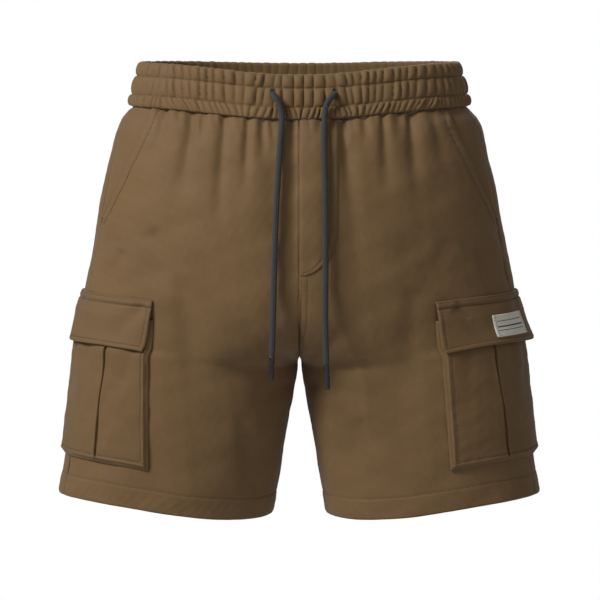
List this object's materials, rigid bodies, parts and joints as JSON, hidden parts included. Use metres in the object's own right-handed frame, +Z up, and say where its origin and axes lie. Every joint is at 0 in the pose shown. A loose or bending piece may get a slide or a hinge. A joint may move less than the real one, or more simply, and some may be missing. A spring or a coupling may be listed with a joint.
{
  "type": "elastic-waist drawstring cargo shorts",
  "caption": "Knee-length cotton shorts with a gathered elastic waist, hanging drawcord ends, slanted hand pockets and flapped cargo pockets, filled out as worn.",
  "frame": {"origin": "middle of the waist ring, at half the waistband's height at the sides", "axes": "+Z up, -Y out of the front, +X to the wearer's left"},
  "size_m": [0.5072, 0.2687, 0.4735],
  "materials": {
    "body_cloth": "plain-woven khaki brown cotton twill, matt with a faint sheen",
    "pocket_cloth": "the same cotton twill, topstitched",
    "patch": "cream woven tape, bare",
    "drawcord": "charcoal braided round cord",
    "aglet": "smooth dark tips"
  },
  "bodies": {
    "root": {"waistband_front": "body_cloth", "waistband_back": "body_cloth", "front_panel_left": "body_cloth", "front_panel_right": "body_cloth", "back_panel_left": "body_cloth", "back_panel_right": "body_cloth", "pocket_bearer_left": "body_cloth", "pocket_bearer_right": "body_cloth", "fly_placket": "body_cloth", "cargo_gusset_left": "pocket_cloth", "cargo_gusset_right": "pocket_cloth", "cargo_face_left": "pocket_cloth", "cargo_face_right": "pocket_cloth", "cargo_flap_left": "pocket_cloth", "cargo_flap_right": "pocket_cloth", "flap_patch": "patch", "drawcord_left": "drawcord", "drawcord_right": "drawcord", "aglet_left": "aglet", "aglet_right": "aglet"}
  },
  "joints": []
}
